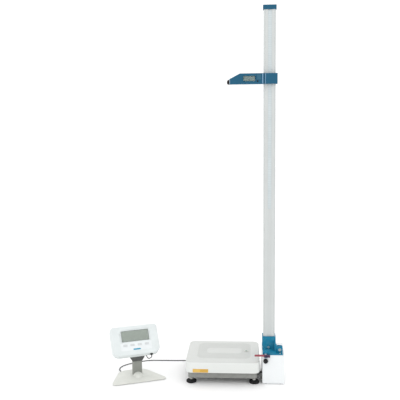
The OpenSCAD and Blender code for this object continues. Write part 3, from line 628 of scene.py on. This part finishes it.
def make_gland(name, centre, axis, body, node):
    """Ribbed gland with a tapered strain relief, along its own axis."""
    relief = [(0, -10), (6, -10), (6, 0), (11, 0.01), (11.2, 0.8), (11.2, 5.2), (10.4, 6)]
    profile = relief + [(8.6, 6.4), (8.6, 13.0), (7.6, 14.2), (6.6, 14.6), (6.2, 15.4)]
    for k in range(3):
        h = 15.4 + k * 1.5
        profile += [(6.1 - 0.6 * k, h), (6.0 - 0.6 * k, h + 0.9), (5.0 - 0.6 * k, h + 1.0),
                    (4.9 - 0.6 * k, h + 1.45)]
    profile += [(3.4, 19.9), (2.2, 20.0), (0, 20.0)]
    gland = turned(name, profile, centre, axis, 40)
    place(gland, body, "black_plastic", hides=(node,))


make_cover()
make_level()
make_label()
for corner, sx, sy in (("front_left", -1, -1), ("front_right", 1, -1), ("rear_left", -1, 1),
                       ("rear_right", 1, 1)):
    make_foot(f"foot_{corner}", f"{corner}_foot", sx, sy)
make_gland("floor_gland", (-150, 171, 56), (0, 1, 0), ROOT, "cable_gland")

# ---- column base ----


def make_knob():
    """Black hand knob with lobes and a domed cap."""
    steps = 96
    rings = []
    for r, h, lobes in ((5, 0, 0), (12.6, 0, 0.3), (14.0, 1.4, 0.9), (14.5, 3.5, 1),
                        (14.5, 10.5, 1), (13.8, 12.8, 0.9), (11.6, 14.4, 0.5), (8.0, 15.0, 0),
                        (7.6, 14.6, 0), (3.0, 15.6, 0), (0.2, 15.7, 0)):
        ring = []
        for k in range(steps):
            a = TAU * k / steps
            q = r - 1.5 * lobes * (0.5 - 0.5 * math.cos(8 * a)) ** 2
            ring.append(in_metres(ROD_X + q * math.cos(a), BOX_FRONT - 0.4 - h,
                                  KNOB_Z + q * math.sin(a)))
        rings.append(ring)
    place(loft("knob_lobes", rings), "knob", "black_plastic", hides=("lock_knob",))
    screw = turned("knob_screw", [(0, -26), (3.6, -26), (4, -25), (4, -1), (0, -1)],
                   (ROD_X, BOX_FRONT - 2, KNOB_Z), (0, -1, 0), 32)
    place(screw, "knob", "zinc_steel")


def make_lever():
    """Red lever with a swelling grip and an oval section, round a hub and its cam."""
    rings = []
    for k in range(25):
        t = k / 24
        x = ROD_X - 6 - 60 * t
        half = 6.2 - 2.2 * math.sin(math.pi * min(1.0, t / 0.55)) * 0.5 + 0.6 * math.sin(
            math.pi * max(0.0, (t - 0.45) / 0.55))
        tall = 5.5
        if t > 0.94:
            fade = math.sqrt(max(0.0, 1 - ((t - 0.94) / 0.06) ** 2)) * 0.9 + 0.1
            half *= fade
            tall *= fade
        ring = []
        for q in range(28):
            a = TAU * q / 28
            across, up = math.cos(a), math.sin(a)
            ring.append(in_metres(x, ROD_Y + half * math.copysign(abs(across) ** 0.7, across),
                                  179 + tall * math.copysign(abs(up) ** 0.7, up)))
        rings.append(ring)
    place(loft("lever_grip", rings), "lever", "red_plastic", hides=("cam_lever",))
    hub = turned("lever_hub", [(4.2, 173.6), (5.8, 173.6), (6.4, 174.2), (6.4, 178.4),
                               (9.8, 178.6), (10.8, 179.4), (10.8, 185.6), (9.6, 186.6),
                               (4.2, 186.6)], (ROD_X, ROD_Y + 0.2, 0), (0, 0, 1), 40)
    place(hub, "lever", "bracket_purple")


def make_rod_collar():
    """Bright ring on the rod above the lever."""
    collar = turned("rod_collar", [(4.05, 186.9), (5.6, 186.9), (6.1, 187.4), (6.1, 190.4),
                                   (5.6, 190.9), (4.05, 190.9)], (ROD_X, ROD_Y, 0),
                    (0, 0, 1), 32)
    place(collar, ROOT, "zinc_steel")


make_knob()
make_lever()
make_rod_collar()

# ---- slider ----

LENS = (127.4, SLIDER_Z + 15.5, 69, 30)


def bar(name, x0, x1, y0, y1, z0, z1, body, slot, material, edge):
    """Straight moulding between two corners in mm, with rounded edges."""
    bm = bmesh.new()
    made = bmesh.ops.create_cube(bm, size=1.0)["verts"]
    for v in made:
        v.co = in_metres((x0 + x1) / 2 + v.co.x * (x1 - x0),
                         (y0 + y1) / 2 + v.co.y * (y1 - y0),
                         (z0 + z1) / 2 + v.co.z * (z1 - z0))
    bmesh.ops.bevel(bm, geom=list(bm.edges), offset=edge * MM, segments=2, affect="EDGES",
                    profile=0.5)
    place(from_bmesh(name, bm, smooth=False), body, slot, material)


def frame_bar(name, x0, z0, w, h, y_front, y_back, wall, body, slot):
    """Rectangular rim round a window."""
    outer = rounded(w + 2 * wall, h + 2 * wall, 3.0, 5, 2)
    inner = rounded(w - 0.6, h - 0.6, 1.6, 5, 2)
    crown = [((a[0] + b[0]) / 2, (a[1] + b[1]) / 2) for a, b in zip(outer, inner)]
    cx, cz = x0 + w / 2, z0 + h / 2
    rings = [[in_metres(px + cx, y, pz + cz) for px, pz in outline]
             for outline, y in ((outer, y_back), (outer, y_front + 0.4), (crown, y_front),
                                (inner, y_front + 0.3), (inner, y_back))]
    place(hoop(name, rings), body, slot)


# painted highlights: pale colour for the light caught on the edges of the slider's mouldings
EDGE_HIGHLIGHT = moulded("painted_edge_highlight", (0.27, 0.42, 0.60), 0.4, gloss=0.3)
# painted highlight: pale colour for the lit end face of the arm's shell by the tip
TIP_HIGHLIGHT = moulded("painted_tip_highlight", (0.55, 0.66, 0.75), 0.4, gloss=0.3)
SLIDER_GHOST = moulded("slider_ghost", (0.088, 0.140, 0.132), 0.4)
SLIDER_LCD = liquid_crystal("slider_display", (0.098, 0.158, 0.148))
GHOST = moulded("ghost_segments", (0.228, 0.262, 0.227), 0.4)


def digit(name, x, z, h, y, body, material, at=in_metres):
    """Seven faint bars of an unlit display digit, slanted a little."""
    w, t = h * 0.5, h * 0.11
    depth = 0.15
    slant = 0.08
    bm = bmesh.new()
    bars = [(0, h, 1), (0, h / 2, 1), (0, 0, 1), (0, h * 0.75, 0), (w, h * 0.75, 0),
            (0, h * 0.25, 0), (w, h * 0.25, 0)]
    for bx, bz, flat in bars:
        if flat:
            shape = [(t, 0), (t * 1.5, t / 2), (w - t * 1.5, t / 2), (w - t, 0),
                     (w - t * 1.5, -t / 2), (t * 1.5, -t / 2)]
        else:
            reach = h / 4 - t * 0.6
            shape = [(0, reach), (t / 2, reach - t / 2), (t / 2, -reach + t / 2), (0, -reach),
                     (-t / 2, -reach + t / 2), (-t / 2, reach - t / 2)]
        shape = [(px + bx + x + (pz + bz - h / 2) * slant, pz + bz + z) for px, pz in shape]
        back, front = [[bm.verts.new(at(px, where, pz)) for px, pz in shape]
                       for where in (y + depth, y)]
        skin(bm, (back, front))
        bm.faces.new(list(reversed(back)))
        bm.faces.new(front)
    place(from_bmesh(name, bm, smooth=False), body, "lcd_grey", material)


def make_slider():
    """Window rim, display digits, a dark groove, and pale bars painted as highlights on the edges
    of the slider's mouldings.
    """
    front = HEAD_FRONT
    low, high = SLIDER_Z + 1.2, SLIDER_Z + 58.8
    frame_bar("slider_window_rim", *LENS, front - 1.1, front + 0.6, 2.2, "slider",
              "blue_plastic")
    for k in range(4):
        digit(f"slider_digit_{k + 1}", LENS[0] + 11 + 13 * k, LENS[1] + 7, 16, front + 1.86,
              "slider", SLIDER_GHOST)
    # painted highlight: this pale bar stands for the light on the shell's end face by the tip
    bar("highlight_at_tip", 49.2, 51.2, front - 1, -8.6, SLIDER_Z + 0.4, SLIDER_Z + 31.4, "slider",
        "blue_plastic", TIP_HIGHLIGHT, 0.3)
    # painted highlights: pale bars for the lit edges at the arm's joint and on the sleeve
    for name, x, half in (("highlight_at_arm", 238.0, 1.7), ("highlight_at_column", 253.5, 1.0)):
        bar(name, x - half, x + half, front - 0.6, front + 0.5, low, high, "slider",
            "blue_plastic", EDGE_HIGHLIGHT, 0.25)
    bar("groove_at_column", 245.5, 247.5, front - 0.3, front + 0.5, low, high, "slider",
        "black_plastic", None, 0.2)


make_slider()


# ---- indicator ----

IND_W, IND_H = 288, 182


def case_outline(shrink):
    """The housing's outline, rounder at its lower corners, shrunk by a margin."""
    w, h = IND_W / 2 - shrink, IND_H / 2 - shrink
    out = []
    for sx, sz, r, start in ((1, 1, 21, 0), (-1, 1, 21, 90), (-1, -1, 40, 180), (1, -1, 40, 270)):
        r = max(2.0, r - shrink)
        for k in range(13):
            a = math.radians(start + 90 * k / 12)
            out.append((sx * (w - r) + r * math.cos(a), sz * (h - r) + r * math.sin(a)))
    dense = []
    for i, (ax, az) in enumerate(out):
        bx, bz = out[(i + 1) % len(out)]
        dense.append((ax, az))
        if i % 13 == 12:
            dense += [(ax + (bx - ax) * k / 8, az + (bz - az) * k / 8) for k in range(1, 8)]
    return dense


def make_case():
    """Front shell: a face that rolls over into the sides, with its window and keys cut."""
    rings = []

    def ring(shrink, y):
        rings.append([on_indicator(x, y, z) for x, z in case_outline(shrink)])

    ring(3.4, 27.9)
    ring(0.9, 27.9)
    ring(0.3, 27.5)
    ring(0, 26.6)
    ring(0, 10)
    for k in range(1, 8):
        a = math.radians(90 * k / 7)
        ring(10 * (1 - math.cos(a)), 10 - 10 * math.sin(a))
    ring(14, 0)
    ring(40, 0)
    ring(70, 0)
    case = loft("indicator_case", rings)
    cutters = []

    def hole(x, z, w, h):
        rings = [[on_indicator(px + x, y, pz + z) for px, pz in rounded(w, h, 4, 5, 2)]
                 for y in (-3, 9)]
        cutters.append(loft("cutter", rings, smooth=False))

    hole(*LCD)
    for x in KEY_X:
        hole(x, KEY_Z, 26.8, 14.8)
    carve(case, cutters)
    for face in case.data.polygons:
        face.use_smooth = True
    flat = case.modifiers.new("flat", "WEIGHTED_NORMAL")
    flat.keep_sharp = False
    place(case, "indicator", "case_white", hides=("indicator_front",))


def indicator_plate(name, x, z, w, h, r, y0, y1, slot, material=None, hides=(), edge=0.35):
    """Flat rounded plate on the housing's face."""
    rings = []
    for shrink, y in ((edge, y1), (0, y1 - edge * 0.2), (0, y0 + edge),
                      (edge * 0.3, y0 + edge / 3), (edge, y0)):
        rings.append([on_indicator(px + x, y, pz + z)
                      for px, pz in rounded(w - 2 * shrink, h - 2 * shrink, r, 6, 3)])
    return place(loft(name, rings), "indicator", slot, material, hides)


def indicator_rim(name, x, z, w, h, r, wall, y_out, y_in, slot):
    """Raised rim round the window, which falls inwards to the glass."""
    rings = []
    for grow, y in ((wall, 0.6), (wall, y_out + 0.3), (wall * 0.75, y_out), (wall * 0.3, y_out),
                    (0, y_out + 0.4), (-1.2, y_in), (-1.2, 0.6 + y_in)):
        rings.append([on_indicator(px + x, y, pz + z)
                      for px, pz in rounded(w + 2 * grow, h + 2 * grow, max(1, r + grow), 6, 3)])
    place(hoop(name, rings), "indicator", slot)


def make_face():
    """Window rim, key overlay with its dash and caps, display digits, and rear louvres."""
    x, z, w, h = LCD
    indicator_rim("display_rim", x, z, w - 0.4, h - 0.4, 4, 3.4, -1.0, 2.2, "case_white")
    panel = moulded("panel_pale", (0.755, 0.79, 0.80), 0.4, 800, 0.00003)
    indicator_plate("key_overlay", 0, -40, 190, 50, 8, -0.5, 0.5, "case_white", panel,
                    hides=("keypad_panel",))
    teal = moulded("dash_teal", (0.02, 0.30, 0.46), 0.35, 900, 0.00002)
    indicator_plate("dash", 2, -59, 44, 9, 3, -0.8, -0.3, "strip_print", teal, edge=0.2)
    cap = moulded("key_cap", (0.60, 0.63, 0.64), 0.45)
    for k, key_x in enumerate(KEY_X):
        piece = indicator_plate(f"key_cap_{k + 1}", key_x, KEY_Z, 19, 8.5, 2, -2.2, -1.6,
                                "key_grey", cap, edge=0.25)
        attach(piece, f"indicator_key_{k + 1}")
    for k in range(5):
        digit(f"display_digit_{k + 1}", -58 + 28 * k, 6, 42, 2.85, "indicator", GHOST,
              on_indicator)
    for k, (mark_x, mark_z) in enumerate(((-70, 50), (-70, 12), (74, 50))):
        indicator_plate(f"display_mark_{k + 1}", mark_x, mark_z, 9, 3, 1, 2.75, 2.95,
                        "lcd_grey", GHOST, edge=0.05)
    for k in range(6):
        rear_louvre(f"louvre_{k + 1}", -95 + 8 * k, 38)


def rear_louvre(name, x, z):
    """Raised rib on the rear cover."""
    rings = []
    for shrink, y in ((0, 51.5), (0, 52.6), (0.5, 53.2), (1.2, 53.4)):
        rings.append([on_indicator(px + x, y, pz + z)
                      for px, pz in rounded(3.6 - 2 * shrink, 34 - 2 * shrink,
                                            1.7 - shrink, 4, 2)])
    place(loft(name, rings), "indicator", "case_white")


def make_indicator_gland():
    """Small gland under the housing's right end, stepped down to the lead."""
    axis = INDICATOR_TURN @ Vector((0, 0, -1))
    centre = INDICATOR_C + INDICATOR_TURN @ Vector((88, 20, -IND_H / 2))
    profile = [(0, -6), (5, -6), (5, 0), (8.6, 0.01), (8.8, 0.7), (8.8, 4.4), (8.2, 5.0),
               (6.6, 5.2), (6.6, 7.4), (6.0, 7.9), (5.0, 8.0), (5.0, 8.8), (4.4, 8.9),
               (4.4, 9.7), (3.8, 9.8), (3.8, 10.6), (3.2, 10.7), (3.0, 12.0), (0, 12.0)]
    place(turned("short_gland", profile, centre, axis, 36), "indicator", "black_plastic",
          hides=("indicator_gland",))


make_case()
make_face()
make_indicator_gland()

# ---- desk stand ----


def stand_outline_points(count=144):
    """Rounded trapezoid of the stand's base, as count points in order, in mm."""
    corners = ((-180, -108), (171, -108), (59, 94), (-95, 94))
    trim = 42.0
    dense = []
    for i, p in enumerate(corners):
        a = Vector(corners[i - 1])
        b = Vector(corners[(i + 1) % 4])
        p = Vector(p)
        start, end = p + (a - p).normalized() * trim, p + (b - p).normalized() * trim
        for k in range(25):
            t = k / 24
            dense.append((1 - t) ** 2 * start + 2 * t * (1 - t) * p + t * t * end)
        following = b + (p - b).normalized() * trim
        for k in range(1, 16):
            dense.append(end + (following - end) * k / 16)
    total = len(dense)
    return [dense[int(k * total / count)] for k in range(count)]


def make_stand():
    """Smooth domed base, above a thin shadow gap, with its boss growing out of it."""
    outline = stand_outline_points()
    middle = Vector((-5, -14))

    boss_r, boss_reach, boss_h = 27.5, 55, 22
    post_front = -13

    def height(x, y, t):
        """Top surface: a shallow dome that blends into the boss in front of the post."""
        dome = 8.6 + 5.4 * math.sin(math.pi / 2 * min(1.0, (1 - t) / 0.6)) ** 1.2
        dx, dy = x / boss_r, (y - post_front) / boss_reach
        reach = dx * dx + dy * dy
        lift = 0.0
        if reach < 1 and y < post_front:
            lift = 12 + boss_h * math.sqrt(1 - reach)
        elif abs(dx) < 1 and post_front <= y < post_front + 3:
            lift = 12 + boss_h * math.sqrt(1 - dx * dx) * (1 - (y - post_front) / 3)
        if lift <= 0:
            return dome
        soft = 2.5
        return soft * math.log(math.exp(dome / soft) + math.exp(lift / soft))

    rings = []
    for inset, z in ((7, 5.0), (3.5, 3.2), (1.6, 3.0), (0.5, 3.4), (0, 4.4), (0, 6.4)):
        rings.append([on_stand(p.x * (1 - inset / 190), p.y * (1 - inset / 140), z)
                      for p in outline])
    steps = 61
    for k in range(steps):
        t = 1 - (k + 0.4) / steps
        edge = 2.2 * (1 - math.sqrt(max(0.0, 1 - max(0.0, (t - 0.975) / 0.025) ** 2)))
        ring = []
        for p in outline:
            q = middle + (p - middle) * t
            ring.append(on_stand(q.x, q.y, height(q.x, q.y, t) - edge))
        rings.append(ring)
    base = loft("stand_dome", rings, close_first=False)
    place(base, ROOT, "stand_ivory", hides=("stand_base",))


make_stand()


# ---- CAD nodes that are shown as they are ----

EDGES = {
    "base_box": 2.2, "base_floor": 0.8, "base_pads": 1.5, "base_frame": 1.2, "tie_bracket": 1.0,
    "deck_spider": 0.8, "load_cell": 0.8, "cell_bolts": 0.6, "overload_stops": 0.5,
    "foot_locknuts": 0.5, "hinge_plate": 1.0, "m6_bolts": 0.5, "hinge_pin": 0.7,
    "lever_bracket": 0.8, "pivot_rod": 0.6, "column_foot": 1.4, "column_tube": 0.5,
    "scale_strip": 0.3, "top_cap": 2.5, "foot_bolts": 0.7, "slider_sleeve": 1.4,
    "glide_pads": 0.4, "arm_front": 1.5, "arm_rear": 1.5, "arm_tip": 1.5, "slider_lens": 0.3,
    "slider_lcd": 0.2, "slider_board": 0.2, "battery_door": 0.5, "slider_screws": 0.4,
    "slider_key": 0.8, "slider_button": 0.6, "keypad_panel": 0.2, "key_1": 0.9, "key_2": 0.9,
    "key_3": 0.9, "key_4": 0.9, "indicator_lens": 0.3, "indicator_lcd": 0.3,
    "indicator_board": 0.2, "indicator_screws": 0.4, "indicator_rear": 1.6, "tilt_pin": 1.0,
    "tilt_yoke": 1.2, "stand_post": 1.5, "stand_pads": 0.6,
}


OWN_LOOK = {"slider_lcd": SLIDER_LCD, "hinge_pin": zinc("dull_zinc", (0.36, 0.45, 0.49))}


def dress_nodes():
    """Every shown CAD node takes its slot's material and small rounded edges."""
    for part in frame["record"]["subparts"]:
        node = NODES[part["node"]]
        node.data.materials.clear()
        node.data.materials.append(MATERIALS[part["material_slot"]])
        if part["node"] in OWN_LOOK:
            node.data.materials[0] = OWN_LOOK[part["node"]]
        if part["node"] in EDGES:
            soften(node, EDGES[part["node"]] * MM)


dress_nodes()

# ---- stage ----


def make_stage():
    """Pale floor, even white surroundings and two large soft lights."""
    scene = bpy.context.scene
    scene.view_settings.view_transform = "Standard"
    world = bpy.data.worlds.new("studio")
    scene.world = world
    world.use_nodes = True
    world.node_tree.nodes["Background"].inputs[0].default_value = (1, 1, 1, 1)
    world.node_tree.nodes["Background"].inputs[1].default_value = 1.16
    mesh = bpy.data.meshes.new("floor")
    half = 14
    mesh.from_pydata([(-half, -half, 0), (half, -half, 0), (half, half, 0), (-half, half, 0)],
                     [], [(0, 1, 2, 3)])
    floor = bpy.data.objects.new("floor", mesh)
    scene.collection.objects.link(floor)
    s = Shader("floor_white", 0.8)
    s.colour(s.mix(s.noise(3, 2), (0.955, 0.955, 0.955), (0.97, 0.97, 0.97)))
    mesh.materials.append(s.material)
    for name, spot, aim, size, power in (
            ("key_light", (-2.2, -3.4, 2.9), (0, 0, 0.7), 2.4, 14),
            ("fill_light", (2.6, -2.6, 1.6), (0, 0, 0.6), 2.0, 5)):
        data = bpy.data.lights.new(name, "AREA")
        data.size = size
        data.energy = power
        light = bpy.data.objects.new(name, data)
        light.location = spot
        light.rotation_euler = (Vector(aim) - Vector(spot)).to_track_quat("-Z", "Y").to_euler()
        scene.collection.objects.link(light)


make_stage()
